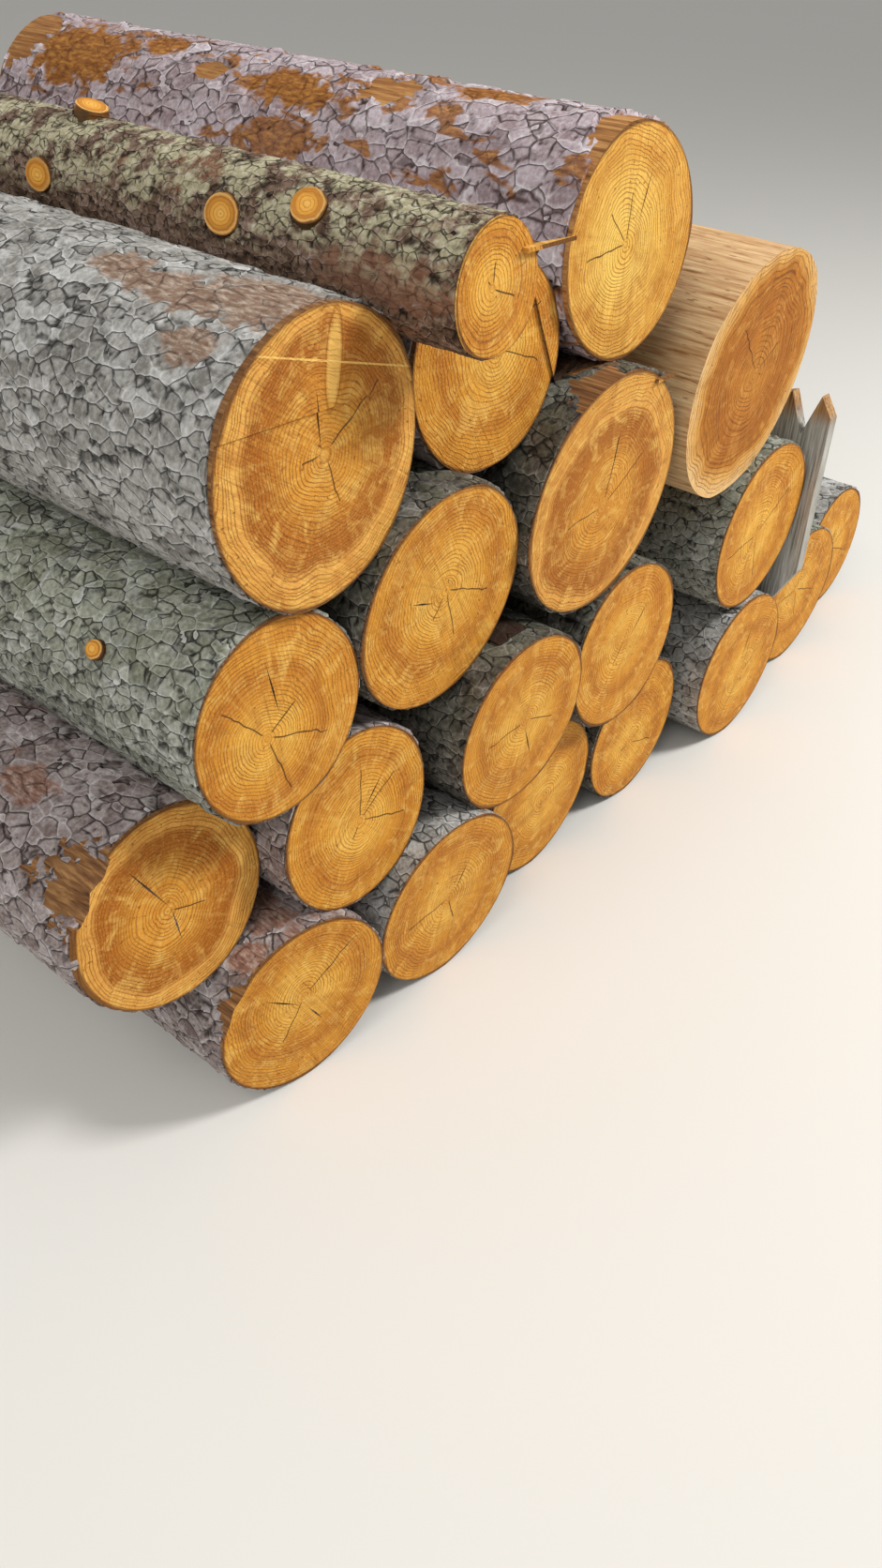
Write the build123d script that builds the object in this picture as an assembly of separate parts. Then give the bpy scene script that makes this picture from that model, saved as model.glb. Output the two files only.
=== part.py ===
from build123d import *
from itertools import combinations
import math
import os

# A stack of round softwood logs, all lengths in millimetres.
# X runs to the right along the row of sawn ends, Y along the logs away from those ends, and Z up.
# The ground is Z = 0. The logs thicken towards their far ends, and the whole stack fans out with them.

# Lengths that the logs are cut to
LOG_LENGTH = 2000
SHORT_LOG_LENGTH = 1350

# How the logs grow, lie and are shaped
GROWTH_PER_METRE = 0.02
FAN_CENTRE_X = 900
SEAT_CLEARANCE = 0.3
TOUCHING = 2.0
HOLLOW_SHARE = 0.035
LOBE_SPAN = 110

# The shortest band of a log's side that a detail may cut into
BAND = 30
BAND_SHARE = 0.72

# Gaps between neighbours on the ground, left to right
GROUND_GAPS = (SEAT_CLEARANCE, SEAT_CLEARANCE, SEAT_CLEARANCE, 20, 40, SEAT_CLEARANCE)

# Drying cracks in the sawn ends
CRACK_WIDTH = 3
CRACK_DEPTH = 60

# Loose pieces
PEEL_LENGTH = 300
PEEL_START = 15
PEEL_THICKNESS = 5
PEEL_CURL = 10
PLATE_LENGTH = 260
PLATE_START = 25
PLATE_THICKNESS = 7
CHUNK_LENGTH = 150
CHUNK_START = 60
CHUNK_THICKNESS = 13
SLAB_THICKNESS = 28
SLAB_HEIGHT = 470
SLAB_WIDTH = 230
SLAB_FRONT = -40


class Log:
    """A log: its outline where the row of ends lies, how its ends are sawn, and what is done to it."""

    def __init__(self, name, diameter, near, front=0, turn=0, lean=0, length=LOG_LENGTH):
        self.name = name
        self.radius = diameter / 2
        self.near = near
        self.front = front
        self.turn = turn
        self.lean = lean
        self.length = length
        self.x = None
        self.z = None
        self.contacts = []

    def growth(self, y):
        return 1 + GROWTH_PER_METRE * y / 1000

    def centre(self, y):
        """The point of the pith line at y."""
        scale = self.growth(y)
        return Vector(FAN_CENTRE_X + (self.x - FAN_CENTRE_X) * scale, y, self.z * scale)

    def bulges(self):
        """The directions of the outline's high spots: each contact, and evenly spread ones between them."""
        starts = sorted(self.contacts)
        ends = starts[1:] + [starts[0] + 360]
        found = []
        for start, end in zip(starts, ends):
            count = max(1, round((end - start) / LOBE_SPAN))
            found += [start + (end - start) * i / count for i in range(count)]
        return found + [starts[0] + 360]

    def reach(self, angle):
        """The outline's radius at an angle in degrees: full at each high spot, a little less in between."""
        bulges = self.bulges()
        for start, end in zip(bulges, bulges[1:]):
            along = (angle - start) % 360
            span = end - start
            if along < span:
                depth = HOLLOW_SHARE * min(1, span / LOBE_SPAN)
                return self.radius * (1 - depth * math.sin(math.pi * along / span))
        return self.radius

    def rim(self, angle, y, lift=0):
        """The point of the surface at an angle and a y, lifted off it by a distance."""
        distance = (self.reach(angle) + lift) * self.growth(y)
        turned = math.radians(angle)
        return self.centre(y) + Vector(distance * math.cos(turned), 0, distance * math.sin(turned))

    def end_plane(self):
        """The plane of the near sawn end: its x runs right, its y up and its z out of the log."""
        turn = math.radians(self.turn)
        lean = math.radians(self.lean)
        outward = Vector(math.sin(turn) * math.cos(lean), -math.cos(turn) * math.cos(lean), math.sin(lean))
        across = Vector(math.cos(turn), math.sin(turn), 0)
        return Plane(origin=self.centre(self.front), x_dir=across, z_dir=outward)

    def far_plane(self):
        """The plane of the far end, sawn square."""
        return Plane(origin=self.centre(self.front + self.length), x_dir=(-1, 0, 0), z_dir=(0, 1, 0))

    def rim_on(self, plane, angle):
        """The point where the surface's straight line at an angle meets a plane."""
        begin, end = self.rim(angle, 0), self.rim(angle, self.length)
        before = (begin - plane.origin).dot(plane.z_dir)
        after = (end - plane.origin).dot(plane.z_dir)
        return begin + (end - begin) * (before / (before - after))

    def section(self, plane):
        """The log's outline where a plane cuts it: one flat arc from each high spot to the next."""
        bulges = self.bulges()
        corners = [self.rim_on(plane, angle) for angle in bulges[:-1]]
        corners.append(corners[0])
        arcs = []
        for i in range(len(bulges) - 1):
            middle = self.rim_on(plane, (bulges[i] + bulges[i + 1]) / 2)
            arcs.append(ThreePointArc(corners[i], middle, corners[i + 1]))
        return make_face(arcs)

    def body(self, marks):
        """The plain log: a ruled loft from one sawn end to the other, its sides divided at the marks."""
        planes = [self.end_plane()]
        for mark in sorted(marks):
            if mark > BAND and (self.centre(self.front + mark) - planes[-1].origin).Y > BAND / 2:
                planes.append(Plane(origin=self.centre(self.front + mark), x_dir=(1, 0, 0), z_dir=(0, -1, 0)))
        planes.append(self.far_plane())
        return loft([self.section(plane) for plane in planes], ruled=True)


# Diameters, places near which each log settles, how far its end stands back from the row of ends,
# and how far the saw turned and leaned
BOTTOM_ROW = (
    Log("bottom_log_1", 316, (0, 158), front=-18, turn=-5.5),
    Log("bottom_log_2", 332, (334, 166), front=-33, turn=-1.5, lean=-3),
    Log("bottom_log_3", 326, (669, 163), front=29, turn=1, lean=-1.5),
    Log("bottom_log_4", 314, (983, 157), front=28, turn=1.5, lean=-1),
    Log("bottom_log_5", 342, (1322, 171), front=-16, lean=-1),
    Log("bottom_log_6", 348, (1707, 174), front=44, lean=-2),
    Log("bottom_log_7", 320, (2060, 160), front=115, turn=1),
)
UPPER_ROWS = (
    Log("second_log_2", 300, (158, 435), front=2, turn=1, lean=3.5),
    Log("second_log_1", 314, (-164, 440), front=54, lean=5),
    Log("second_log_3", 320, (506, 450), front=-36, lean=-3),
    Log("second_log_4", 320, (862, 432), front=-13),
    Log("filler_log_1", 146, (1127, 318), front=320, length=1650),
    Log("second_log_5", 350, (1279, 508), front=-19, turn=1.5, lean=-2.5),
    Log("third_log_1", 290, (8, 708), front=-10, turn=1, lean=2),
    Log("third_log_2", 346, (326, 731), front=-9, turn=1.5, lean=-5),
    Log("third_log_3", 400, (700, 755), front=-22, turn=1, lean=-4),
    Log("filler_log_2", 172, (1040, 602), front=260, length=1700),
    Log("third_log_4", 436, (1164, 880), front=-30, turn=2, lean=-5),
    Log("fourth_log_1", 362, (117, 1011), front=-15, turn=5),
    Log("fourth_log_2", 296, (469, 1023), front=30, turn=-2.5, lean=2.5),
    Log("fourth_log_3", 320, (769, 1110), front=11, lean=1, length=SHORT_LOG_LENGTH),
    Log("top_log", 154, (304, 1181), front=-107, turn=1.5),
)


def gap_between(a, b):
    return math.hypot(a.x - b.x, a.z - b.z) - a.radius - b.radius


def settle_on_ground(row, gaps):
    """Sets the bottom row on the ground from left to right, with its gaps."""
    first = row[0]
    first.x, first.z = 0, first.radius
    for before, log, gap in zip(row, row[1:], gaps):
        apart = before.radius + log.radius + gap
        log.x = before.x + math.sqrt(apart**2 - (log.radius - before.radius) ** 2)
        log.z = log.radius


def touching_places(log, a, b):
    """The two places where a log lies against both a and b."""
    apart = math.hypot(b.x - a.x, b.z - a.z)
    to_a = a.radius + log.radius + SEAT_CLEARANCE
    to_b = b.radius + log.radius + SEAT_CLEARANCE
    if apart >= to_a + to_b:
        return
    along = (to_a**2 - to_b**2 + apart**2) / (2 * apart)
    aside = math.sqrt(to_a**2 - along**2)
    across = ((b.x - a.x) / apart, (b.z - a.z) / apart)
    for side in (aside, -aside):
        yield a.x + along * across[0] - side * across[1], a.z + along * across[1] + side * across[0]


def settle(log, placed):
    """Lays a log against two placed ones, overlapping none, as close as it can to where it was seen."""
    places = []
    for a, b in combinations(placed, 2):
        for log.x, log.z in touching_places(log, a, b):
            if min(gap_between(log, other) for other in placed) > SEAT_CLEARANCE / 2:
                places.append((log.x, log.z))
    log.x, log.z = min(places, key=lambda place: math.dist(place, log.near))


def find_contacts(logs):
    """Notes for each log the directions in which it touches the ground or another log."""
    for log in logs:
        if log in BOTTOM_ROW:
            log.contacts.append(-90)
    for a, b in combinations(logs, 2):
        if gap_between(a, b) < TOUCHING:
            direction = math.degrees(math.atan2(b.z - a.z, b.x - a.x))
            a.contacts.append(direction)
            b.contacts.append(direction - 180 if direction > 0 else direction + 180)


def crack(log, angle, start, end):
    """The cutter of a drying crack that runs outward from start to end, widest in its middle."""
    middle = (start + end) / 2
    half = CRACK_WIDTH / 2
    outline = make_face(Polyline((start, 0), (middle, half), (end, 0), (middle, -half), close=True))
    return extrude(log.end_plane() * Rot(0, 0, angle) * outline, amount=-CRACK_DEPTH)


def torn_rim(log, from_angle, to_angle, sink, run):
    """The cutter of a torn rim: deepest at the sawn end, and running out to the surface behind it."""
    inner = log.radius - sink
    outer = log.radius + sink
    teeth = 4
    points = []
    for i in range(teeth + 1):
        angle = math.radians(from_angle + (to_angle - from_angle) * i / teeth)
        at = inner if i % 2 else inner + sink / 3
        points.append((at * math.cos(angle), at * math.sin(angle)))
    for angle in (math.radians(to_angle), math.radians(from_angle)):
        points.append((outer * math.cos(angle), outer * math.sin(angle)))
    middle = math.radians((from_angle + to_angle) / 2)
    plane = log.end_plane()
    rise = plane.x_dir * math.cos(middle) + plane.y_dir * math.sin(middle)
    start = plane.offset(sink / 2) * make_face(Polyline(*points, close=True))
    return extrude(start, amount=run, dir=rise * 1.4 * sink - plane.z_dir * run)


def branch_stub(log, along, angle, width, stand_out, rake=20):
    """A sawn-off branch: a short cone rising out of the log, raked towards the near end."""
    raked = math.radians(rake)
    reach = log.reach(angle) * log.growth(log.front + along)
    pith = log.centre(log.front + along + reach * math.tan(raked))
    outward = (log.rim(angle, pith.Y) - log.centre(pith.Y)).normalized()
    direction = outward * math.cos(raked) - Vector(0, math.sin(raked), 0)
    length = reach / math.cos(raked) + stand_out
    base = Plane(origin=pith, z_dir=direction)
    return base * Cone(width * 0.75, width / 2, length, align=(Align.CENTER, Align.CENTER, Align.MIN))


def splinter(log, angle, length, width, thickness):
    """A sliver of wood torn out at the rim of the sawn end, pointing to the right."""
    inside = 0.3 * length
    at = log.reach(angle) - inside
    outline = make_face(Polyline((0, -width / 2), (0, width / 2), (inside + length, 0), close=True))
    plane = log.end_plane()
    turned = math.radians(angle)
    base = plane.origin + (plane.x_dir * math.cos(turned) + plane.y_dir * math.sin(turned)) * at
    return extrude(Plane(origin=base, x_dir=(1, -0.1, 0.05), z_dir=(0, 0, 1)) * outline, amount=thickness)


def saw_step(log, height, tilt, depth):
    """The cutter of a step in a sawn end: everything below a line lies deeper by a little."""
    size = 4 * log.radius
    block = Box(size, size, depth, align=(Align.CENTER, Align.MAX, Align.MAX))
    return log.end_plane() * Rot(0, 0, tilt) * Pos(0, height, 0) * block


def bark_shell(log, from_angle, to_angle, along, length, thickness, curl=0):
    """A curved piece of bark on a log's surface, lifting off it by the curl towards its first edge."""
    steps = 8
    ends = []
    for y in (log.front + along, log.front + along + length):
        inner = []
        outer = []
        for i in range(steps + 1):
            angle = from_angle + (to_angle - from_angle) * i / steps
            lift = SEAT_CLEARANCE + curl * (1 - i / steps) ** 2
            inner.append(log.rim(angle, y, lift))
            outer.append(log.rim(angle, y, lift + thickness))
        first, last = Line(inner[0], outer[0]), Line(inner[-1], outer[-1])
        ends.append(make_face([Spline(*inner), last, Spline(*outer), first]))
    return loft(ends, ruled=True)


def standing_slab(lean_log, foot_logs):
    """The split slab: it stands in the valley between two ground logs, against the log that it leans on."""
    back = SLAB_FRONT + SLAB_WIDTH
    left = max(lean_log.rim(angle, back).X for angle in range(-30, 31)) + SEAT_CLEARANCE
    right = left + SLAB_THICKNESS
    seats = [0]
    for foot in foot_logs:
        for side in (left - foot.x, right - foot.x):
            if abs(side) < foot.radius:
                seats.append((foot.z + math.sqrt(foot.radius**2 - side**2)) * foot.growth(back))
    bottom = max(seats) + SEAT_CLEARANCE
    top = bottom + SLAB_HEIGHT
    outline = Polyline(
        (SLAB_FRONT, bottom + 90),
        (SLAB_FRONT + 50, bottom),
        (SLAB_FRONT + SLAB_WIDTH, bottom),
        (SLAB_FRONT + SLAB_WIDTH, top - 60),
        (SLAB_FRONT + 0.75 * SLAB_WIDTH, top - 95),
        (SLAB_FRONT + 0.6 * SLAB_WIDTH, top - 20),
        (SLAB_FRONT + 0.4 * SLAB_WIDTH, top - 5),
        (SLAB_FRONT + 0.25 * SLAB_WIDTH, top - 85),
        (SLAB_FRONT + 0.12 * SLAB_WIDTH, top),
        (SLAB_FRONT, top - 40),
        close=True,
    )
    face = Plane(origin=(left, 0, 0), x_dir=(0, 1, 0), z_dir=(1, 0, 0)) * make_face(outline)
    return extrude(face, amount=SLAB_THICKNESS)


settle_on_ground(BOTTOM_ROW, GROUND_GAPS)
stack = list(BOTTOM_ROW)
for upper in UPPER_ROWS:
    settle(upper, stack)
    stack.append(upper)
find_contacts(stack)
named = {log.name: log for log in stack}

# Drying cracks: log, direction in the sawn end, where it starts and ends from the pith
CRACKS = (
    ("bottom_log_1", 140, 15, 95),
    ("bottom_log_1", -60, 10, 60),
    ("bottom_log_2", 60, 10, 80),
    ("bottom_log_5", 75, 20, 110),
    ("second_log_1", 118, 5, 110),
    ("second_log_1", -85, 0, 60),
    ("second_log_2", 45, 15, 75),
    ("second_log_3", -70, 10, 90),
    ("second_log_4", 50, 20, 95),
    ("third_log_1", 100, 10, 90),
    ("third_log_2", 160, 25, 80),
    ("third_log_3", 85, 30, 110),
    ("fourth_log_1", 95, 15, 90),
    ("fourth_log_2", 35, 40, 100),
    ("fourth_log_3", 70, 30, 105),
)
# Torn rims: log, the stretch of rim that is gone, how deep and how far back
TORN_RIMS = (
    ("second_log_1", 118, 158, 26, 150),
    ("bottom_log_1", 128, 165, 12, 90),
)
# Branch stubs: log, distance from its sawn end, direction, width and how far it stands out
STUBS = (
    ("top_log", 237, 138, 44, 9),
    ("top_log", 374, 162, 48, 6),
    ("top_log", 726, 88, 45, 14),
    ("top_log", 752, 172, 42, 7),
    ("third_log_1", 194, 148, 26, 10),
    ("second_log_5", 94, 141, 34, 7),
)
# Steps where the saw came in from two sides: log, height above the pith, tilt and depth
SAW_STEPS = (
    ("fourth_log_1", 62, -3, 2.5),
    ("fourth_log_2", 110, -68, 4),
)
# Slivers of wood torn out at the sawn end: log, direction, length, width and thickness
SPLINTERS = (
    ("top_log", 38, 70, 16, 5),
    ("third_log_3", 62, 40, 14, 5),
)

marks = {log.name: set() for log in stack}
for name, along, _, width, _ in STUBS:
    marks[name] |= {along - BAND_SHARE * width, along + BAND_SHARE * width}
for name, _, _, _, run in TORN_RIMS:
    marks[name].add(run + BAND)
for name, *_ in SAW_STEPS + SPLINTERS:
    marks[name].add(2 * BAND)

pieces = {log.name: log.body(marks[log.name]) for log in stack}
for name, angle, start, end in CRACKS:
    pieces[name] -= crack(named[name], angle, start, end)
for name, from_angle, to_angle, sink, run in TORN_RIMS:
    pieces[name] -= torn_rim(named[name], from_angle, to_angle, sink, run)
for name, along, angle, width, stand_out in STUBS:
    pieces[name] += branch_stub(named[name], along, angle, width, stand_out)
for name, height, tilt, depth in SAW_STEPS:
    pieces[name] -= saw_step(named[name], height, tilt, depth)
for name, angle, length, width, thickness in SPLINTERS:
    pieces[name] += splinter(named[name], angle, length, width, thickness)

# Loose pieces
pieces["bark_peel"] = bark_shell(
    named["fourth_log_2"], -92, -64, PEEL_START, PEEL_LENGTH, PEEL_THICKNESS, PEEL_CURL
)
pieces["bark_plate"] = bark_shell(
    named["second_log_3"], 82, 106, PLATE_START, PLATE_LENGTH, PLATE_THICKNESS
)
pieces["bark_chunk"] = bark_shell(
    named["third_log_3"], 98, 113, CHUNK_START, CHUNK_LENGTH, CHUNK_THICKNESS
)
pieces["weathered_slab"] = standing_slab(
    named["second_log_5"], (named["bottom_log_5"], named["bottom_log_6"])
)

# The origin is the middle of the stack's own box, on the ground
whole = Compound(list(pieces.values())).bounding_box()
origin = Pos(-whole.center().X, -whole.center().Y, -whole.min.Z)
os.makedirs("parts", exist_ok=True)
for name, piece in pieces.items():
    export_step(origin * piece, f"parts/{name}.step")
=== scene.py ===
import math

import bpy
from mathutils import Euler, Matrix, Vector, noise


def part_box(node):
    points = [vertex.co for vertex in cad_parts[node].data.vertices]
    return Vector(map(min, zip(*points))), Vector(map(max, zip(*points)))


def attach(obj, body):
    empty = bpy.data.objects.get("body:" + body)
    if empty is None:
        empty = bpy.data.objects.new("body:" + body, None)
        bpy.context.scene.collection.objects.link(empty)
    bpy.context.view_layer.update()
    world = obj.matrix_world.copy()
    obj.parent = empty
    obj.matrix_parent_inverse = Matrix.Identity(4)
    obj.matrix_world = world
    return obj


# A stack of softwood logs: sawn ends with rings and checks, scaly bark with torn patches, one peeled log.
# Lengths are metres where nothing else is said, and MM turns millimetres into metres.

MM = 0.001

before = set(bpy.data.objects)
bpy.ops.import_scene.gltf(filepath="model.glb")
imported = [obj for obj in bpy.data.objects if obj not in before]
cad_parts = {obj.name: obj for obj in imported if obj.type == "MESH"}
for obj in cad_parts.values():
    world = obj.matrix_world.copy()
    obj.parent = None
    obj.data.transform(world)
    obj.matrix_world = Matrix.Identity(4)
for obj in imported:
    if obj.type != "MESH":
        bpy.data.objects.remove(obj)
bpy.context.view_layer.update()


# Camera, left of the row of sawn ends and above it, looking along the row and down

CAMERA_PLACE = (-1.736, -1.956, 1.526)
CAMERA_HEADING = 49.62
CAMERA_PITCH = 37.53
CAMERA_ROLL = 1.40
FOCAL_PIXELS = 1242
FRAME_HEIGHT_PIXELS = 1672
SENSOR = 36


def add_camera():
    bpy.ops.object.camera_add(location=CAMERA_PLACE)
    camera = bpy.context.object
    camera.name = "camera"
    aim = Euler((math.radians(90 - CAMERA_PITCH), 0, math.radians(-CAMERA_HEADING))).to_matrix()
    roll = Matrix.Rotation(math.radians(CAMERA_ROLL), 3, "Z")
    camera.rotation_euler = (aim @ roll).to_euler()
    camera.data.sensor_width = SENSOR
    camera.data.lens = SENSOR * FOCAL_PIXELS / FRAME_HEIGHT_PIXELS
    bpy.context.scene.camera = camera


# Materials are built node by node

MATH = "ShaderNodeMath"
VECTOR = "ShaderNodeVectorMath"
MIX = "ShaderNodeMix"
RANGE = "ShaderNodeMapRange"
RAMP = "ShaderNodeValToRGB"
NOISE = "ShaderNodeTexNoise"
CELLS = "ShaderNodeTexVoronoi"
WHITE = "ShaderNodeTexWhiteNoise"
MAPPING = "ShaderNodeMapping"
JOIN = "ShaderNodeCombineXYZ"
SPLIT = "ShaderNodeSeparateXYZ"
PLACE = "ShaderNodeTexCoord"
STORED = "ShaderNodeAttribute"
BUMP = "ShaderNodeBump"
MIX_FIRST, MIX_SECOND, MIX_COLOUR = 6, 7, 2


def srgb(code):
    """A hex colour as the linear values that sockets take."""
    values = [int(code[i:i + 2], 16) / 255 for i in (1, 3, 5)]
    return [v / 12.92 if v <= 0.04045 else ((v + 0.055) / 1.055) ** 2.4 for v in values] + [1.0]


class Finish:
    """A material, with its colour, roughness and relief linked to its shader."""

    def __init__(self, name, specular):
        self.material = bpy.data.materials.new(name)
        self.material.use_nodes = True
        self.tree = self.material.node_tree
        self.shader = self.tree.nodes["Principled BSDF"]
        self.shader.inputs["IOR"].default_value = 1.45
        self.shader.inputs["Specular IOR Level"].default_value = specular

    def add(self, kind, inputs=(), out=0, stops=(), **settings):
        """Adds a node, sets its properties, fills or links its inputs, and gives one of its outputs."""
        node = self.tree.nodes.new(kind)
        for key, value in settings.items():
            setattr(node, key, value)
        for socket, value in dict(inputs).items():
            if isinstance(value, bpy.types.NodeSocket):
                self.tree.links.new(value, node.inputs[socket])
            else:
                node.inputs[socket].default_value = srgb(value) if isinstance(value, str) else value
        for i, (position, code) in enumerate(stops):
            element = node.color_ramp.elements[i] if i < 2 else node.color_ramp.elements.new(position)
            element.position = position
            element.color = srgb(code)
        return node.outputs[out]

    def over(self, below, above, share):
        """One colour laid over another by a share."""
        inputs = {0: share, MIX_FIRST: below, MIX_SECOND: above}
        return self.add(MIX, inputs, MIX_COLOUR, data_type="RGBA")

    def blotches(self, vector, size, detail=3.0, stretch=(1, 1, 1), distortion=0.0):
        """Cloudy noise whose blotches measure a size in millimetres, drawn out by the stretch."""
        scale = [1 / (size * MM * s) for s in stretch]
        mapped = self.add(MAPPING, {"Vector": vector, "Scale": scale})
        inputs = {"Vector": mapped, "Scale": 1.0, "Detail": detail, "Roughness": 0.6, "Distortion": distortion}
        return self.add(NOISE, inputs)

    def close(self, colour, rough, heights):
        """Links the colour and roughness, and one bump over another, given as (height, millimetres)."""
        self.tree.links.new(colour, self.shader.inputs["Base Color"])
        self.tree.links.new(rough, self.shader.inputs["Roughness"])
        normal = None
        for height, depth in heights:
            inputs = {"Height": height, "Distance": depth * MM}
            if normal is not None:
                inputs["Normal"] = normal
            normal = self.add(BUMP, inputs)
        self.tree.links.new(normal, self.shader.inputs["Normal"])
        return self.material


# Where each log lies, read from its own solid: the middle, tilt and radius of its two sawn ends


class LogPlace:
    def __init__(self, name):
        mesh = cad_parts[name].data
        first = min(v.co.y for v in mesh.vertices)
        last = max(v.co.y for v in mesh.vertices)
        near = [f for f in mesh.polygons if f.normal.y < -0.9 and f.center.y < first + 90 * MM]
        far = [f for f in mesh.polygons if f.normal.y > 0.9 and f.center.y > last - 20 * MM]
        self.near, self.near_radius, self.near_normal = self.end_facts(near)
        self.far, self.far_radius, self.far_normal = self.end_facts(far)
        self.axis = (self.far - self.near).normalized()
        self.length = (self.far - self.near).length
        self.turned = self.axis.to_track_quat("Z", "Y").to_euler()

    @staticmethod
    def end_facts(faces):
        area = sum(f.area for f in faces)
        centre = sum((f.center * f.area for f in faces), Vector()) / area
        normal = sum((f.normal * f.area for f in faces), Vector()).normalized()
        return centre, math.sqrt(area / math.pi), normal

    def polar(self, point):
        """A point's distance along the log, its direction in degrees, and the way out from the pith line."""
        along = (point - self.near).dot(self.axis)
        outward = point - self.near - self.axis * along
        return along, math.degrees(math.atan2(outward.z, outward.x)), outward.normalized()

    def on_side(self, along, direction, lift):
        """The point at a distance along the log and a direction, lifted off its side."""
        turned = math.radians(direction)
        radius = self.near_radius + (self.far_radius - self.near_radius) * along / self.length
        outward = Vector((math.cos(turned), 0, math.sin(turned)))
        return self.near + self.axis * along + outward * (radius + lift)


PLACES = {name: LogPlace(name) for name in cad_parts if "log" in name}


# Softwood cut by a chain saw: rings round the pith, rays, saw marks and drying checks on the ends,
# and long fibre on any side that is bare

GOLDEN = {
    "ring": 5.5,
    "across": (
        (0.0, "#DE9C38"), (0.28, "#EBB048"), (0.52, "#D8932E"), (0.72, "#BC7420"), (0.86, "#D8942F"), (1.0, "#CF8A2C"),
    ),
    "stain": "#AD6218",
    "stained": 0.5,
    "pale": "#F4C566",
    "late": "#80460F",
    "rim": 0.85,
    "fibre": ((0.3, "#4A2E1A"), (0.5, "#7E5632"), (0.75, "#B58A56")),
    "weathered": "#553520",
}
HEARTED = dict(
    GOLDEN,
    across=(
        (0.0, "#CE8628"), (0.3, "#DA9634"), (0.6, "#AE6619"), (0.76, "#A96117"), (0.84, "#E0A04A"), (1.0, "#D99A42"),
    ),
    stained=0.6,
)
PEELED = dict(
    GOLDEN,
    ring=9,
    across=(
        (0.0, "#C58430"), (0.3, "#B87222"), (0.55, "#A66016"), (0.8, "#B4701E"), (0.87, "#DDA656"), (1.0, "#E6BE82"),
    ),
    stain="#9A5612",
    stained=0.5,
    pale="#DDA04A",
    late="#62300A",
    rim=0.0,
    fibre=((0.3, "#8E6234"), (0.42, "#C0966A"), (0.6, "#DDBB8A"), (0.8, "#EBD4A8")),
    weathered="#A87640",
)
KNOTTY = dict(
    GOLDEN,
    fibre=((0.3, "#A06A28"), (0.5, "#D09A44"), (0.75, "#EDC678")),
    weathered="#8A5A24",
)
LOOKS = {
    "third_log_4": PEELED,
    "third_log_3": HEARTED,
    "fourth_log_1": HEARTED,
    "second_log_1": dict(HEARTED, stained=0.35),
    "top_log": KNOTTY,
    "fourth_log_3": dict(
        KNOTTY,
        across=(
            (0.0, "#E6B048"), (0.28, "#F2C660"), (0.55, "#E8B450"), (0.75, "#D4963A"), (0.88, "#E2A848"), (1.0, "#D89A3E"),
        ),
        fibre=((0.3, "#6A4424"), (0.5, "#A87440"), (0.75, "#D0A468")),
        weathered="#7A4A20",
    ),
}


CHECK_PLACES = 7
CHECK_WIDTH = 1.6
TONGUE_PLACE = (-23 * MM, 112 * MM, 0)
TONGUE_SIZE = (14 * MM, 56 * MM, 30 * MM)
TONGUE_TURN = math.radians(8)
STEP_HEIGHT = 118 * MM
STEP_TURN = math.radians(16)


def ring_lines(wood, plane, reach, look, seed, radius):
    """How far out a point lies once the rings' wander is taken off, and the dark line of late wood."""
    slow = wood.add(MATH, {0: wood.blotches(plane, 95, detail=1.0), 1: 0.5}, operation="SUBTRACT")
    quick = wood.add(MATH, {0: wood.blotches(plane, 16, detail=2.0), 1: 0.5}, operation="SUBTRACT")
    bent = wood.add(MATH, {0: slow, 1: radius * 0.22, 2: reach}, operation="MULTIPLY_ADD")
    bent = wood.add(MATH, {0: quick, 1: 5 * MM, 2: bent}, operation="MULTIPLY_ADD")
    line = wood.add(JOIN, {0: bent, 1: seed})
    uneven = wood.blotches(line, 22, detail=1.0)
    count = wood.add(MATH, {0: bent, 1: look["ring"] * MM}, operation="DIVIDE")
    count = wood.add(MATH, {0: uneven, 1: 2.6, 2: count}, operation="MULTIPLY_ADD")
    phase = wood.add(MATH, {0: count, 1: 0.5}, operation="PINGPONG")
    return bent, wood.add(RANGE, {0: phase, 1: 0.3, 2: 0.5})


def drying_checks(wood, angle, quiver, reach, share, seed):
    """Thin dark cracks that run out from near the pith, some of CHECK_PLACES, each to its own length."""
    turns = wood.add(MATH, {0: angle, 1: CHECK_PLACES / math.tau, 2: 0.5}, operation="MULTIPLY_ADD")
    turns = wood.add(MATH, {0: turns, 1: quiver}, operation="ADD")
    which = wood.add(MATH, {0: turns}, operation="FLOOR")
    luck = wood.add(WHITE, {"Vector": wood.add(JOIN, {0: which, 1: seed})})
    off = wood.add(MATH, {0: wood.add(MATH, {0: turns}, operation="FRACT"), 1: 0.5}, operation="SUBTRACT")
    off = wood.add(MATH, {0: wood.add(MATH, {0: off}, operation="ABSOLUTE"), 1: reach}, operation="MULTIPLY")
    half = CHECK_WIDTH * MM / 2 * CHECK_PLACES / math.tau
    line = wood.add(RANGE, {0: off, 1: 0.5 * half, 2: 1.5 * half, 3: 1.0, 4: 0.0})
    past = wood.add(MATH, {0: share, 1: wood.add(RANGE, {0: luck, 1: 0.45, 2: 1.0, 4: 0.8})}, operation="LESS_THAN")
    clear = wood.add(RANGE, {0: share, 1: 0.05, 2: 0.1})
    kept = wood.add(MATH, {0: past, 1: clear}, operation="MULTIPLY")
    return wood.add(MATH, {0: line, 1: kept}, operation="MULTIPLY")


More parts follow.
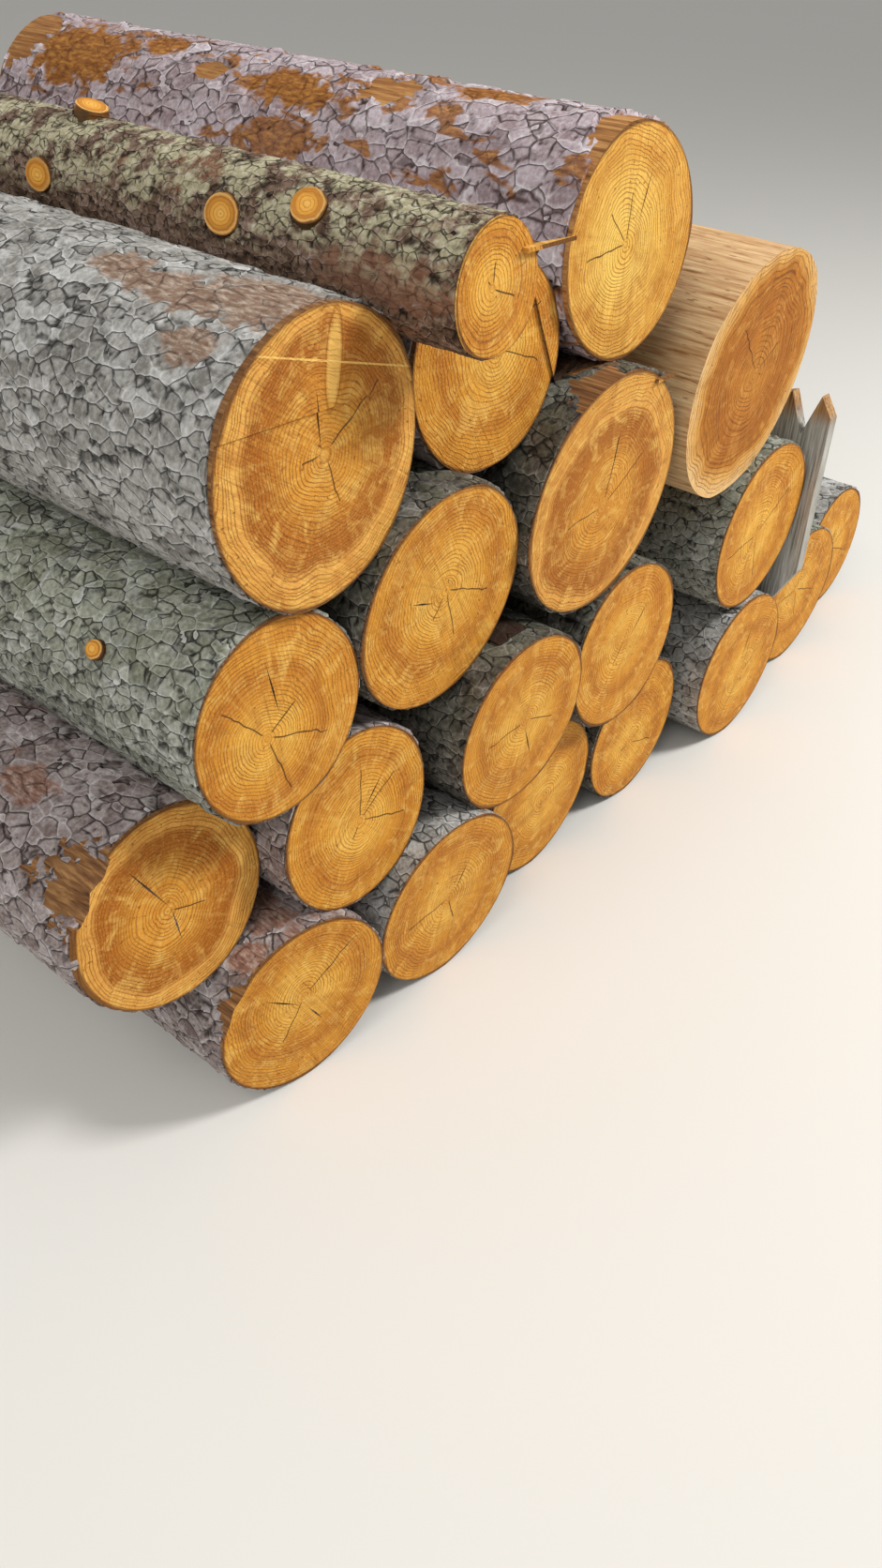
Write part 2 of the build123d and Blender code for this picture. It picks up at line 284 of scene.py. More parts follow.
# Branch stubs: distance from the sawn end, direction in degrees, half the width, and how far they stand out
STUBS = {
    "top_log": (
        (0.237, 138, 22 * MM, 9 * MM),
        (0.374, 162, 24 * MM, 6 * MM),
        (0.726, 88, 23 * MM, 14 * MM),
        (0.752, 172, 21 * MM, 7 * MM),
    ),
    "third_log_1": ((0.194, 148, 13 * MM, 10 * MM),),
    "second_log_5": ((0.094, 141, 17 * MM, 7 * MM),),
}
STUB_END = (
    (0.0, "#9A601C"), (0.14, "#E8B055"), (0.5, "#DE9E40"), (0.78, "#B87628"), (0.9, "#E2AE60"), (1.0, "#6E4420"),
)
STUB_RING = 2.4 * MM


def stub_ends(wood, name, point, side):
    """Rings on the sawn end of each branch stub, and a dark collar of bark round it."""
    for along, direction, half, stand_out in STUBS.get(name, ()):
        middle = PLACES[name].on_side(along, direction, stand_out)
        away = wood.add(VECTOR, {0: point, 1: middle}, "Value", operation="DISTANCE")
        away = wood.add(MATH, {0: wood.blotches(point, 12), 1: 5 * MM, 2: away}, operation="MULTIPLY_ADD")
        share = wood.add(MATH, {0: away, 1: half + 3.5 * MM}, operation="DIVIDE")
        ring = wood.add(MATH, {0: away, 1: STUB_RING}, operation="PINGPONG")
        ring = wood.add(RANGE, {0: ring, 1: 0.6 * STUB_RING, 2: STUB_RING, 4: 0.55})
        cut = wood.over(wood.add(RAMP, {0: share}, stops=STUB_END), "#84501A", ring)
        side = wood.over(side, "#3A2A1E", wood.add(RANGE, {0: share, 1: 1.3, 2: 1.6, 3: 0.9, 4: 0.0}))
        side = wood.over(side, cut, wood.add(RANGE, {0: share, 1: 1.0, 2: 1.05, 3: 1.0, 4: 0.0}))
    return side


def saw_mark(wood, local, end):
    """The largest end's own marks: a pale tongue of torn wood, and a pale line of painted highlight along the step
    where two cuts met.
    """
    spots = {"Vector": local, "Location": TONGUE_PLACE, "Rotation": (0, 0, TONGUE_TURN), "Scale": TONGUE_SIZE}
    tongue = wood.add(MAPPING, spots, vector_type="TEXTURE")
    near = wood.add(VECTOR, {0: tongue}, "Value", operation="LENGTH")
    end = wood.over(end, "#E9BA60", wood.add(RANGE, {0: near, 1: 0.7, 2: 0.95, 3: 0.7, 4: 0.0}))
    ring = wood.add(MATH, {0: near, 1: 1.0, 2: 0.07}, operation="COMPARE")
    end = wood.over(end, "#8A5010", wood.add(MATH, {0: ring, 1: 0.5}, operation="MULTIPLY"))
    # The step where two cuts met is drawn as a pale line on the end: a painted highlight on the step's edge
    spots = {"Vector": local, "Location": (0, STEP_HEIGHT, 0), "Rotation": (0, 0, STEP_TURN)}
    parts = wood.tree.nodes.new(SPLIT)
    wood.tree.links.new(wood.add(MAPPING, spots, vector_type="TEXTURE"), parts.inputs[0])
    at_front = wood.add(MATH, {0: parts.outputs[2], 1: 0.5}, operation="LESS_THAN")
    line = wood.add(MATH, {0: parts.outputs[1], 1: 0.0, 2: 1.1 * MM}, operation="COMPARE")
    line = wood.add(MATH, {0: line, 1: at_front}, operation="MULTIPLY")
    return wood.over(end, "#F3C66C", wood.add(MATH, {0: line, 1: 0.85}, operation="MULTIPLY"))


def sawn_softwood(name, look, seed):
    """One log's wood: its rings turn round its own pith, and every log is stained in its own way."""
    place = PLACES[name]
    wood = Finish(name + "_chain_sawn_softwood", 0.25)
    point = wood.add(PLACE, out="Object")
    facing = wood.add(PLACE, out="Normal")
    spots = {"Vector": point, "Location": place.near, "Rotation": place.turned}
    local = wood.add(MAPPING, spots, vector_type="TEXTURE")
    off_centre = Vector((noise.noise((seed, 1.7, 0.3)), noise.noise((seed, 8.1, 4.4)), 0)) * place.near_radius * 0.3
    shifted = wood.add(VECTOR, {0: local, 1: off_centre}, operation="SUBTRACT")
    parts = shifted.node.id_data.nodes.new(SPLIT)
    wood.tree.links.new(shifted, parts.inputs[0])
    x, y = parts.outputs[0], parts.outputs[1]
    plane = wood.add(JOIN, {0: x, 1: y, 2: seed})
    level = wood.add(JOIN, {0: x, 1: y})
    reach = wood.add(VECTOR, {0: level}, "Value", operation="LENGTH")
    bent, late = ring_lines(wood, plane, reach, look, seed, place.near_radius)
    heart = place.near_radius * (1 + 0.12 * noise.noise((seed, 5.5, 2.2)))
    share = wood.add(MATH, {0: bent, 1: heart}, operation="DIVIDE")

    # Colour from heart to rim, with orange stains and pale patches laid on as painted sheen
    end = wood.add(RAMP, {0: share}, stops=look["across"])
    stains = wood.blotches(plane, 60, detail=4.0, distortion=0.8)
    end = wood.over(end, look["stain"], wood.add(RANGE, {0: stains, 1: 0.48, 2: 0.72, 4: look["stained"]}))
    pale = wood.blotches(plane, 32, detail=5.0, distortion=1.2)
    end = wood.over(end, look["pale"], wood.add(RANGE, {0: pale, 1: 0.5, 2: 0.7, 4: 0.6}))
    strength = wood.add(RANGE, {0: wood.blotches(plane, 45), 1: 0.35, 2: 0.65, 3: 0.25, 4: 0.9})
    end = wood.over(end, look["late"], wood.add(MATH, {0: late, 1: strength}, operation="MULTIPLY"))

    # Streaks of torn fibre that run out from the pith
    angle = wood.add(MATH, {0: y, 1: x}, operation="ARCTAN2")
    fan = wood.add(JOIN, {0: wood.add(MATH, {0: angle, 1: 9.0}, operation="MULTIPLY"), 1: reach, 2: seed})
    fan = wood.add(MAPPING, {"Vector": fan, "Scale": (1.0, 9.0, 1.0)})
    rays = wood.add(NOISE, {"Vector": fan, "Scale": 1.0, "Detail": 3.0, "Roughness": 0.6})
    end = wood.over(end, look["late"], wood.add(RANGE, {0: rays, 1: 0.55, 2: 0.8, 4: 0.3}))
    end = wood.over(end, look["pale"], wood.add(RANGE, {0: rays, 1: 0.45, 2: 0.25, 4: 0.25}))

    # The chain's marks run straight across the end, and fine fibres stand up all over it
    chain = wood.add(MAPPING, {"Vector": plane, "Rotation": (0, 0, noise.noise((seed, 3.3, 9.9)) * 2.2)})
    marks = wood.blotches(chain, 3.5, stretch=(1, 30, 1))
    end = wood.over(end, look["late"], wood.add(RANGE, {0: marks, 1: 0.45, 2: 0.8, 4: 0.4}))
    fur = wood.blotches(plane, 3, detail=4.0)
    end = wood.over(end, look["pale"], wood.add(RANGE, {0: fur, 1: 0.5, 2: 0.75, 4: 0.35}))
    flecks = wood.add(RANGE, {0: wood.blotches(plane, 6, detail=1.0), 1: 0.68, 2: 0.74, 4: 0.7})
    end = wood.over(end, look["late"], flecks)
    quiver = wood.add(MATH, {0: wood.blotches(plane, 30, detail=1.0), 1: 0.2}, operation="MULTIPLY")
    checks = drying_checks(wood, angle, quiver, reach, share, seed)
    end = wood.over(end, "#4A2A10", wood.add(MATH, {0: checks, 1: 0.8}, operation="MULTIPLY"))

    if name == "fourth_log_1":
        end = saw_mark(wood, local, end)

    # A thin dark line of inner bark at the rim
    flat = wood.add(VECTOR, {0: local, 1: (1, 1, 0)}, operation="MULTIPLY")
    out = wood.add(VECTOR, {0: flat}, "Value", operation="LENGTH")
    edge = wood.add(RANGE, {0: out, 1: 0.965 * place.near_radius, 2: 0.99 * place.near_radius, 4: look["rim"]})
    end = wood.over(end, "#5A3216", edge)

    # Bare sides
    grain = wood.blotches(local, 6, detail=5.0, stretch=(1, 1, 16), distortion=0.3)
    broad = wood.blotches(local, 34, stretch=(1, 1, 7))
    side = wood.add(RAMP, {0: grain}, stops=look["fibre"])
    side = wood.over(side, look["weathered"], wood.add(RANGE, {0: broad, 1: 0.48, 2: 0.72, 4: 0.6}))
    dashes = wood.blotches(local, 5, detail=1.0, stretch=(1, 1, 6))
    side = wood.over(side, look["late"], wood.add(RANGE, {0: dashes, 1: 0.66, 2: 0.73, 4: 0.6}))
    side = stub_ends(wood, name, point, side)
    lean = wood.add(VECTOR, {0: facing, 1: place.axis}, "Value", operation="DOT_PRODUCT")
    is_end = wood.add(RANGE, {0: wood.add(MATH, {0: lean}, operation="ABSOLUTE"), 1: 0.6, 2: 0.72})
    colour = wood.over(side, end, is_end)
    height = wood.add(MATH, {0: marks, 1: 1.5, 2: fur}, operation="MULTIPLY_ADD")
    height = wood.add(MATH, {0: late, 1: 0.5, 2: height}, operation="MULTIPLY_ADD")
    height = wood.add(MATH, {0: checks, 1: -2.0, 2: height}, operation="MULTIPLY_ADD")
    relief = wood.add(MIX, {0: is_end, 2: grain, 3: height})
    rough = wood.add(RANGE, {0: fur, 1: 0.3, 2: 0.7, 3: 0.6, 4: 0.85})
    return wood.close(colour, rough, [(relief, 1.4)])


# Bark: scaly plates of mixed greys over gaps dark with painted shade, with a painted highlight on each scale's lower
# edge, dry and rough, worn to reddish inner bark in patches.
# The mesh of each sleeve says where its plates and gaps are, and so where the painted shade and highlight go


def hanging_scales(skin, point, size):
    """Scales of a size in millimetres, each hanging over the next: shade, lit edge, tone and height."""
    bend = skin.add(NOISE, {"Vector": point, "Scale": 0.6 / (size * MM), "Detail": 2.0}, "Color")
    bend = skin.add(VECTOR, {0: bend, "Scale": 0.5}, operation="SCALE")
    share = 1 / (size * MM)
    spread = skin.add(MAPPING, {"Vector": point, "Scale": (share, 0.75 * share, share)})
    spot = skin.add(VECTOR, {0: spread, 1: bend}, operation="ADD")
    border = skin.add(CELLS, {"Vector": spot, "Scale": 1.0}, feature="DISTANCE_TO_EDGE")
    middle = skin.add(CELLS, {"Vector": spot, "Scale": 1.0}, "Position")
    tone = skin.add(CELLS, {"Vector": spot, "Scale": 1.0}, "Color")
    away = skin.add(VECTOR, {0: spot, 1: middle}, operation="SUBTRACT")
    rise = skin.add(VECTOR, {0: away, 1: (0, 0, 1)}, "Value", operation="DOT_PRODUCT")
    upper = skin.add(RANGE, {0: rise, 1: -0.25, 2: 0.2})
    lower = skin.add(MATH, {0: 1.0, 1: upper}, operation="SUBTRACT")
    line = skin.add(RANGE, {0: border, 1: 0.01, 2: 0.1, 3: 1.0, 4: 0.0})
    shade = skin.add(MATH, {0: line, 1: upper}, operation="MULTIPLY")
    lit = skin.add(MATH, {0: line, 1: lower}, operation="MULTIPLY")
    drop = skin.add(MATH, {0: rise, 1: -0.8, 2: 1.0}, operation="MULTIPLY_ADD")
    height = skin.add(MATH, {0: shade, 1: -0.9, 2: drop}, operation="MULTIPLY_ADD")
    return shade, lit, tone, height


def scaly_bark(name, plates, gap_shade, scale_size, inner, bare_from, moss=(), moss_share=0.0):
    skin = Finish(name, 0.2)
    point = skin.add(PLACE, out="Object")
    clear = skin.add(STORED, out="Fac", attribute_name="relief")
    plate_tone_and_lit_edge = skin.add(STORED, out="Fac", attribute_name="tone")
    worn = skin.add(STORED, out="Fac", attribute_name="worn")
    speck = skin.blotches(point, 7, detail=5.0)
    patch = skin.blotches(point, 55, stretch=(1, 2, 1), distortion=0.6)
    shade, lit, tone, drop = hanging_scales(skin, point, scale_size)
    # The stored plate tone carries a painted highlight on each plate's lower edge, and lit adds another from the
    # shader's scales
    value = skin.add(MATH, {0: plate_tone_and_lit_edge, 1: 0.1, 2: -0.06}, operation="MULTIPLY_ADD")
    value = skin.add(MATH, {0: tone, 1: 0.2, 2: value}, operation="MULTIPLY_ADD")
    value = skin.add(MATH, {0: speck, 1: 0.75, 2: value}, operation="MULTIPLY_ADD")
    value = skin.add(MATH, {0: lit, 1: 0.22, 2: value}, operation="MULTIPLY_ADD")
    colour = skin.add(RAMP, {0: value}, stops=plates)
    bare = skin.add(RANGE, {0: patch, 1: bare_from, 2: bare_from + 0.04, 4: 0.9})
    bare = skin.add(MATH, {0: bare, 1: worn}, operation="MAXIMUM")
    fibre = skin.blotches(point, 6, detail=4.0, stretch=(1, 3, 1))
    colour = skin.over(colour, skin.add(RAMP, {0: fibre}, stops=inner), bare)
    if moss:
        up = skin.add(PLACE, out="Normal")
        rise = skin.add(VECTOR, {0: up, 1: (-0.3, 0, 0.95)}, "Value", operation="DOT_PRODUCT")
        grown = skin.add(RANGE, {0: skin.blotches(point, 38, detail=5.0, distortion=0.1), 1: 0.43, 2: 0.53})
        open_sky = skin.add(RANGE, {0: rise, 1: 0.25, 2: 0.75, 4: moss_share})
        grown = skin.add(MATH, {0: grown, 1: open_sky}, operation="MULTIPLY")
        colour = skin.over(colour, skin.add(RAMP, {0: speck}, stops=moss), grown)
    kept = skin.add(RANGE, {0: bare, 3: 0.9, 4: 0.25})
    # Painted shade: the gap colour laid on the top of each scale, under the lower edge of the one above, from the
    # shader's scales and from the shade stored on the mesh as relief
    colour = skin.over(colour, gap_shade, skin.add(MATH, {0: shade, 1: kept}, operation="MULTIPLY"))
    colour = skin.over(colour, gap_shade, skin.add(RANGE, {0: clear, 1: 0.7, 2: 0.2, 4: 0.8}))
    rough = skin.add(RANGE, {0: speck, 1: 0.3, 2: 0.7, 3: 0.7, 4: 0.95})
    grit = skin.blotches(point, 2.5, detail=4.0)
    return skin.close(colour, rough, [(drop, 2.6), (speck, 1.6), (grit, 0.9)])


# Each bark: its plate colours, the colour of the painted shade in its gaps, its scale size in millimetres, its inner
# bark colours, the level of patchy noise above which it is bare, and any moss with how much of its top it covers
def grey_spruce():
    plates = ((0.25, "#77746E"), (0.42, "#9A9791"), (0.58, "#B3B1AC"), (0.8, "#D0CECA"))
    inner = ((0.3, "#6C5040"), (0.5, "#8C7462"), (0.7, "#BCAC9C"))
    return scaly_bark("grey_spruce_bark", plates, "#24221F", 21, inner, 0.76)


def green_spruce():
    plates = ((0.25, "#65655B"), (0.42, "#88897E"), (0.58, "#A5A69C"), (0.8, "#C6C7C0"))
    inner = ((0.3, "#7A5A48"), (0.7, "#A98470"))
    moss = ((0.3, "#6E7350"), (0.7, "#A3A67E"))
    return scaly_bark("grey_green_spruce_bark", plates, "#1E1D19", 19, inner, 0.76, moss, 0.25)


def flaky_pine():
    plates = ((0.25, "#8E7B7C"), (0.42, "#AE9DA0"), (0.58, "#C4B7BA"), (0.8, "#DDD5D7"))
    inner = ((0.3, "#6E3E20"), (0.5, "#96602C"), (0.7, "#BC8440"))
    return scaly_bark("flaky_pine_bark", plates, "#3A241C", 27, inner, 0.56)


def lichened_pine():
    plates = ((0.25, "#46342A"), (0.42, "#65503F"), (0.58, "#80695A"), (0.8, "#A39086"))
    inner = ((0.3, "#5A3A28"), (0.7, "#8E6A54"))
    moss = ((0.3, "#8E866A"), (0.5, "#B2AA8A"), (0.75, "#D2CDB8"))
    return scaly_bark("lichened_pine_bark", plates, "#1C140E", 13, inner, 0.64, moss, 0.92)


def ruddy_pine():
    plates = ((0.25, "#6E5E5A"), (0.42, "#918480"), (0.58, "#AAA09D"), (0.8, "#C9C2C0"))
    inner = ((0.3, "#644638"), (0.5, "#876658"), (0.7, "#B09A8C"))
    return scaly_bark("ruddy_pine_bark", plates, "#2A201C", 24, inner, 0.66)


def dark_spruce():
    plates = ((0.25, "#3E3A34"), (0.42, "#5A564E"), (0.58, "#757168"), (0.8, "#9C9A92"))
    inner = ((0.3, "#4E3426"), (0.7, "#7C543E"))
    moss = ((0.3, "#4E5238"), (0.7, "#7C8060"))
    return scaly_bark("dark_spruce_bark", plates, "#14110F", 20, inner, 0.7, moss, 0.25)


def loose_bark():
    plates = ((0.25, "#3A2A22"), (0.42, "#54402F"), (0.58, "#6E5442"), (0.8, "#96745A"))
    inner = ((0.3, "#7A4A28"), (0.7, "#A8703C"))
    return scaly_bark("loose_inner_bark", plates, "#2A1C14", 22, inner, 0.6)


def weathered_softwood():
    """Old split wood, silver grey with open grain, and a raw orange break along its top."""
    wood = Finish("weathered_split_softwood", 0.2)
    point = wood.add(PLACE, out="Object")
    grain = wood.blotches(point, 5, detail=5.0, stretch=(1, 1, 22))
    broad = wood.blotches(point, 40, detail=4.0, stretch=(1, 1, 3))
    colour = wood.add(RAMP, {0: grain}, stops=((0.3, "#75726A"), (0.5, "#ABA8A0"), (0.72, "#D0CDC5")))
    colour = wood.over(colour, "#86826F", wood.add(RANGE, {0: broad, 1: 0.5, 2: 0.7, 4: 0.6}))
    parts = wood.tree.nodes.new(SPLIT)
    wood.tree.links.new(point, parts.inputs[0])
    ragged = wood.add(MATH, {0: grain, 1: 0.06, 2: parts.outputs[2]}, operation="MULTIPLY_ADD")
    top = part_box("weathered_slab")[1][2]
    torn = wood.add(RANGE, {0: ragged, 1: top - 0.03, 2: top})
    colour = wood.over(colour, wood.add(RAMP, {0: grain}, stops=((0.35, "#7A5230"), (0.65, "#C29A6A"))), torn)
    rough = wood.add(RANGE, {0: grain, 1: 0.3, 2: 0.7, 3: 0.75, 4: 0.95})
    return wood.close(colour, rough, [(grain, 4.0), (broad, 3.0)])


# Bark sleeves: the plates and gaps are modelled, in millimetres of height over the bed under them

SCALY = {"plate": 30, "stretch": 1.2, "gap": 0.2, "rise": 2.6, "hang": 3.6, "tilt": 2.0, "rough": 0.5, "bed": 0.4}
FLAKY = {"plate": 38, "stretch": 1.3, "gap": 0.16, "rise": 3.2, "hang": 3.4, "tilt": 4.0, "rough": 0.8, "bed": 0.4}
FINE = {"plate": 17, "stretch": 1.5, "gap": 0.3, "rise": 1.8, "hang": 1.4, "tilt": 2.0, "rough": 0.6, "bed": 0.4}
SMOOTH = {"plate": 34, "stretch": 0.8, "gap": 0.12, "rise": 0.8, "hang": 0.5, "tilt": 0.6, "rough": 0.4, "bed": 0.4}
TORN_DEPTH = 4.5
CURLED_EDGE = 1.8
RAGGED = 0.45
SMALL_PATCH = 27 * MM
STUB_GAP = 2 * MM

# Patches torn down to the wood: distance from the sawn end, direction in degrees, and half the length and
# width. Each branch stub has a small round one of its own.
TORN = {
    "fourth_log_3": (
        (0.0, 96, 0.05, 0.09), (0.42, 110, 0.05, 0.03), (0.80, 122, 0.04, 0.02), (1.32, 118, 0.07, 0.07),
    ),
    "second_log_1": ((0.0, 138, 0.10, 0.06),),
    "bottom_log_1": ((0.0, 148, 0.04, 0.05),),
    "third_log_3": ((0.0, 105, 0.05, 0.05),),
}
# Patches where the scales are gone and the reddish inner bark shows, in the same measures
WORN = {
    "fourth_log_1": (
        (0.05, 96, 0.10, 0.06), (0.17, 108, 0.10, 0.03), (0.27, 104, 0.05, 0.03), (0.08, 128, 0.04, 0.028),
        (1.15, 100, 0.10, 0.04),
    ),
    "fourth_log_3": ((0.25, 96, 0.08, 0.03), (0.60, 124, 0.12, 0.04), (0.95, 108, 0.05, 0.03), (1.15, 126, 0.16, 0.07)),
    "top_log": ((0.10, 178, 0.12, 0.03), (0.45, 130, 0.05, 0.03)),
    "bottom_log_1": ((0.10, 92, 0.10, 0.04), (0.03, 118, 0.03, 0.03)),
    "second_log_1": ((0.20, 112, 0.05, 0.03),),
    "third_log_3": ((0.08, 92, 0.08, 0.04),),
    "bottom_log_6": ((0.1, 110, 0.05, 0.03),),
}


def relief_at(point, style):
    """The bark's height, how clear the point is of the painted shade in a gap, and its plate's tone with a painted
    highlight on its lower edge.

    Each plate hangs over the one below it, so its lower edge gets a painted highlight and the top of the next gets
    painted shade.
    """
    size = style["plate"] * MM
    wobble = noise.noise_vector(point / (size * 0.9)) * 0.2
    spot = Vector((point.x / size, point.y / (size * style["stretch"]), point.z / size)) + wobble
    distances, cells = noise.voronoi(spot)
    away = spot - cells[0]
    slant = away.dot(noise.cell_vector(cells[0] * 3.1) - Vector((0.5, 0.5, 0.5)))
    edge = 1 - min(1.0, (distances[1] - distances[0]) / style["gap"])
    above = min(1.0, max(0.0, 0.45 + away.z * 1.6))
    height = style["rise"] * (1 - 0.6 * edge * above)
    height += style["tilt"] * slant - style["hang"] * away.z
    height += style["rough"] * noise.fractal(point / (size * 0.35), 0.7, 2.0, 3)
    # A plate's lower edge is made lighter in its tone: a painted highlight
    tone = noise.cell(cells[0] * 5.3 + Vector((9.1, 3.7, 5.5))) + 0.8 * edge * (1 - above)
    return max(0.3, height), 1 - edge * above, tone


def inside_patches(patches, place, along, angle, point):
    """How far a point lies inside the patches: above 0 it is in one of them."""
    inside = -1.0
    for middle, direction, length, width in patches:
        aside = math.radians((angle - direction + 180) % 360 - 180) * place.near_radius
        reach = math.hypot((along - middle) / length, aside / width)
        if reach < 2:
            ragged = noise.fractal(point * 45, 0.6, 2.0, 3) * (RAGGED if width > SMALL_PATCH else 0)
            inside = max(inside, 1 - reach + ragged)
    return inside


def divide_lengthways(piece, place, start, stop, rows):
    """Cuts the sleeve at a distance from the sawn end, and divides its long edges up to there."""
    bpy.ops.mesh.select_all(action="SELECT")
    bpy.ops.mesh.bisect(plane_co=place.near + place.axis * stop, plane_no=place.axis)
    bpy.ops.mesh.select_mode(type="EDGE")
    bpy.ops.mesh.select_all(action="DESELECT")
    bpy.ops.object.mode_set(mode="OBJECT")
    mesh = piece.data
    for edge in mesh.edges:
        a, b = (mesh.vertices[i].co for i in edge.vertices)
        lengthways = abs((b - a).normalized().dot(place.axis)) > 0.95
        edge.select = lengthways and start < place.polar((a + b) / 2)[0] < stop
    bpy.ops.object.mode_set(mode="EDIT")
    bpy.ops.mesh.subdivide(number_cuts=rows - 1)


def bark_sleeve(name, style, material, around, spans):
    """The bark of one log: a closed sleeve on its sides, cut off just behind its sawn ends."""
    place = PLACES[name]
    spare = 60 * MM
    bpy.ops.object.select_all(action="DESELECT")
    bpy.ops.mesh.primitive_cone_add(
        vertices=around,
        radius1=place.near_radius + 4 * MM,
        radius2=place.far_radius + 4 * MM,
        depth=place.length + 2 * spare,
        location=(place.near + place.far) / 2,
        rotation=place.turned,
    )
    piece = bpy.context.object
    piece.name = name + "_bark"
    bpy.ops.object.transform_apply(location=True, rotation=True, scale=True)
    bpy.ops.object.mode_set(mode="EDIT")
    behind = (7 if name.startswith("fourth") else 2.5) * MM
    ends = ((place.near + place.axis * behind, place.near_normal), (place.far - place.axis * behind, place.far_normal))
    for at, normal in ends:
        bpy.ops.mesh.select_all(action="SELECT")
        bpy.ops.mesh.bisect(plane_co=at, plane_no=normal, clear_outer=True, use_fill=True)
    start = 0
    for stop, rows in spans:
        divide_lengthways(piece, place, start, stop, rows)
        start = stop
    bpy.ops.object.mode_set(mode="OBJECT")
    fit = piece.modifiers.new("fit", "SHRINKWRAP")
    fit.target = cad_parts[name]
    bpy.ops.object.modifier_apply(modifier="fit")

    mesh = piece.data
    # relief holds how clear each point is of the painted gap shade, and tone holds each plate's tone with its painted
    # highlight on the lower edge
    relief = mesh.attributes.new("relief", "FLOAT", "POINT")
    tones_and_lit_edges = mesh.attributes.new("tone", "FLOAT", "POINT")
    wear = mesh.attributes.new("worn", "FLOAT", "POINT")
    shift = Vector((sum(map(ord, name)) * 0.37, 0, 0))
    round_stubs = [(along, direction, half + STUB_GAP, half + STUB_GAP) for along, direction, half, _ in STUBS.get(name, ())]
    open_spots = [*TORN.get(name, ()), *round_stubs]
    for vertex in mesh.vertices:
        along, angle, outward = place.polar(vertex.co)
        height, flat, tone = relief_at(vertex.co + shift, style)
        worn = inside_patches(WORN.get(name, ()), place, along, angle, vertex.co)
        torn = inside_patches(open_spots, place, along, angle, vertex.co)
        if worn > 0:
            height *= 0.3
            flat = 1.0
        if torn > 0:
            height = -TORN_DEPTH
            flat = 1.0
        elif torn > -0.25:
            height += CURLED_EDGE * (1 + torn * 4)
        vertex.co += outward * (style["bed"] + height) * MM
        vertex.co.z = max(vertex.co.z, 0)
        relief.data[vertex.index].value = flat
        tones_and_lit_edges.data[vertex.index].value = tone
        wear.data[vertex.index].value = min(1.0, max(0.0, worn * 6))
    bpy.ops.object.shade_smooth_by_angle(angle=math.radians(60))
    mesh.materials.append(material)
    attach(piece, "root")


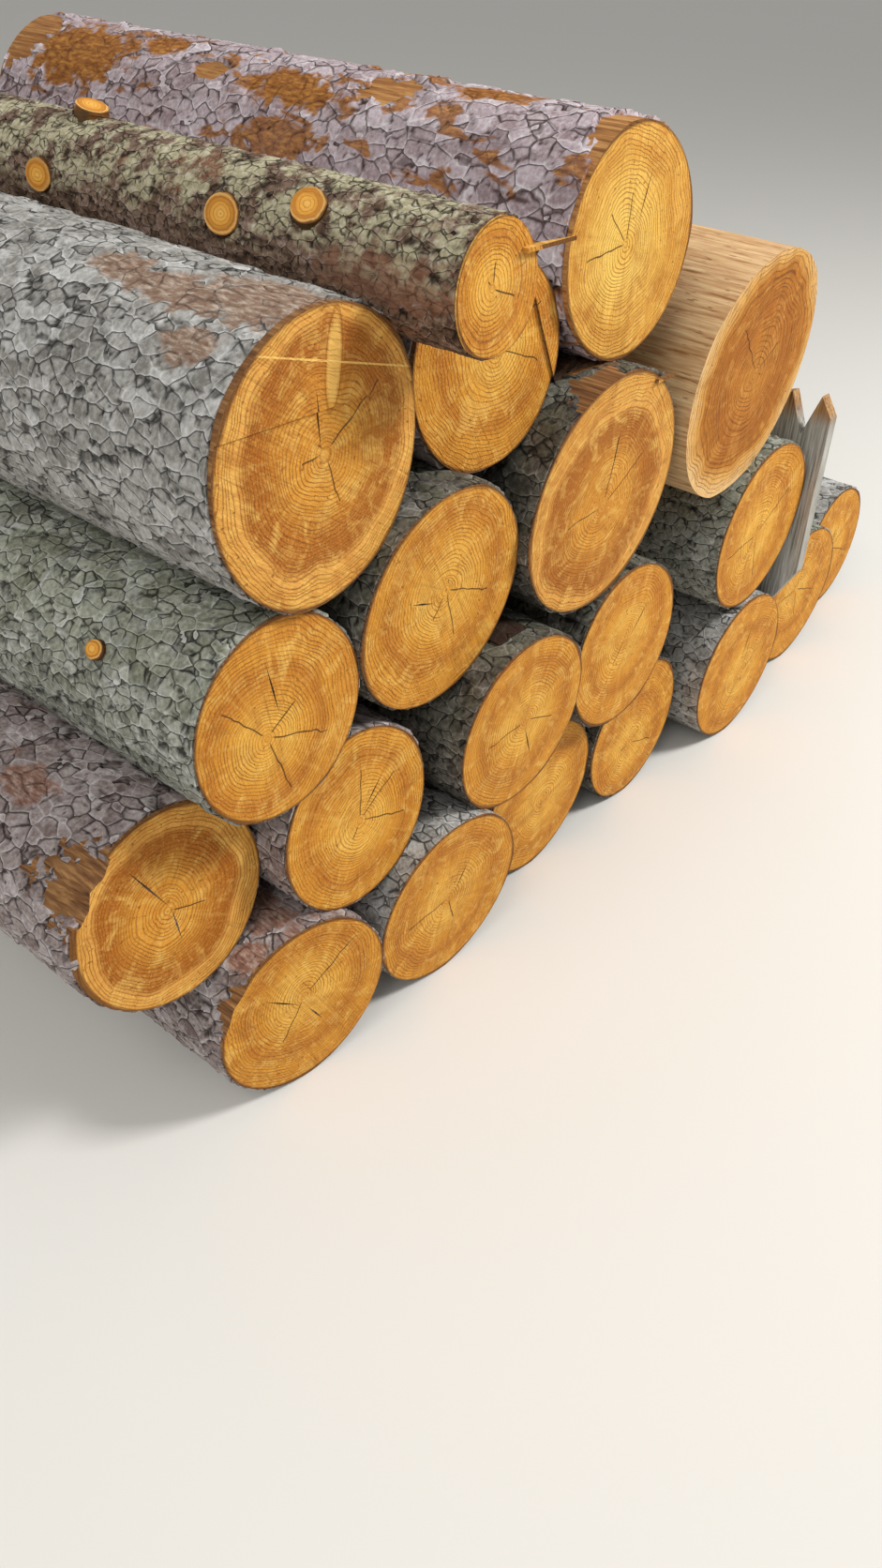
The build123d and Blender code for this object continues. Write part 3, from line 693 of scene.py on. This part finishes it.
# Each sleeve: its log, relief and bark, the faces around it, and how far from the sawn end each stretch of
# it reaches, with its rows: fine where it is open to view
GREY = grey_spruce()
GREEN = green_spruce()
RUDDY = ruddy_pine()
DARK = dark_spruce()
HIDDEN = ((0.3, 42), (2.1, 50))
SLEEVES = (
    ("fourth_log_1", SCALY, GREY, 250, ((0.45, 95), (0.9, 80), (2.1, 90))),
    ("third_log_1", SCALY, GREEN, 210, ((0.45, 90), (0.9, 70), (2.1, 60))),
    ("second_log_1", SCALY, RUDDY, 210, ((0.45, 90), (0.9, 60), (2.1, 60))),
    ("top_log", FINE, lichened_pine(), 124, ((0.4, 95), (0.8, 85), (1.2, 75), (2.1, 60))),
    ("fourth_log_3", FLAKY, flaky_pine(), 200, ((0.45, 85), (0.9, 80), (1.4, 80))),
    ("bottom_log_1", SCALY, RUDDY, 180, ((0.4, 80), (2.1, 60))),
    ("bottom_log_2", SMOOTH, GREY, 120, ((0.4, 50), (2.1, 40))),
    ("bottom_log_3", SCALY, DARK, 100, HIDDEN),
    ("bottom_log_4", SCALY, DARK, 100, HIDDEN),
    ("bottom_log_5", SMOOTH, GREY, 120, HIDDEN),
    ("bottom_log_6", SCALY, GREEN, 120, HIDDEN),
    ("bottom_log_7", SCALY, GREY, 140, ((0.3, 42), (1.2, 60), (2.1, 60))),
    ("second_log_2", SCALY, RUDDY, 110, HIDDEN),
    ("second_log_3", SCALY, DARK, 110, HIDDEN),
    ("second_log_4", SCALY, DARK, 100, HIDDEN),
    ("second_log_5", SCALY, GREEN, 140, ((0.4, 60), (2.1, 80))),
    ("third_log_2", SCALY, DARK, 120, HIDDEN),
    ("third_log_3", FLAKY, DARK, 140, ((0.4, 60), (2.1, 50))),
    ("fourth_log_2", SCALY, RUDDY, 120, ((0.3, 40), (2.1, 80))),
    ("filler_log_1", FINE, DARK, 60, ((0.3, 20), (1.8, 40))),
    ("filler_log_2", FINE, DARK, 60, ((0.3, 20), (1.8, 40))),
)


def dress(name, material):
    """Gives a solid its material."""
    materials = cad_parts[name].data.materials
    materials.clear()
    materials.append(material)


def dress_everything():
    for seed, name in enumerate(sorted(PLACES)):
        dress(name, sawn_softwood(name, LOOKS.get(name, GOLDEN), seed * 1.37 + 0.5))
    skin = loose_bark()
    for name in ("bark_peel", "bark_plate", "bark_chunk"):
        dress(name, skin)
    dress("weathered_slab", weathered_softwood())
    for sleeve in SLEEVES:
        bark_sleeve(*sleeve)


# Floor and light


def add_floor():
    bpy.ops.object.select_all(action="DESELECT")
    bpy.ops.mesh.primitive_plane_add(size=60, location=(0, 0, -1 * MM))
    floor = bpy.context.object
    floor.name = "floor"
    paint = bpy.data.materials.new("pale_studio_floor")
    paint.use_nodes = True
    paint.node_tree.nodes["Principled BSDF"].inputs["Base Color"].default_value = srgb("#DAD7D0")
    paint.node_tree.nodes["Principled BSDF"].inputs["Roughness"].default_value = 0.9
    floor.data.materials.append(paint)


def add_light(name, place, aim, size, power):
    bpy.ops.object.light_add(type="AREA", location=place)
    light = bpy.context.object
    light.name = name
    light.data.size = size
    light.data.energy = power
    light.rotation_euler = (Vector(aim) - Vector(place)).to_track_quat("-Z", "Y").to_euler()


def add_lights():
    world = bpy.data.worlds.new("studio")
    bpy.context.scene.world = world
    world.use_nodes = True
    world.node_tree.nodes["Background"].inputs["Color"].default_value = (1, 1, 1, 1)
    world.node_tree.nodes["Background"].inputs["Strength"].default_value = 0.45
    add_light("key", (2.6, -4.2, 4.6), (0, -0.6, 0.4), 1.4, 330)
    add_light("fill", (-4.5, -1.5, 4.5), (0, 0, 0.5), 3.5, 130)
    bpy.context.scene.view_settings.view_transform = "Standard"


add_camera()
add_floor()
add_lights()
dress_everything()
bpy.ops.object.select_all(action="DESELECT")
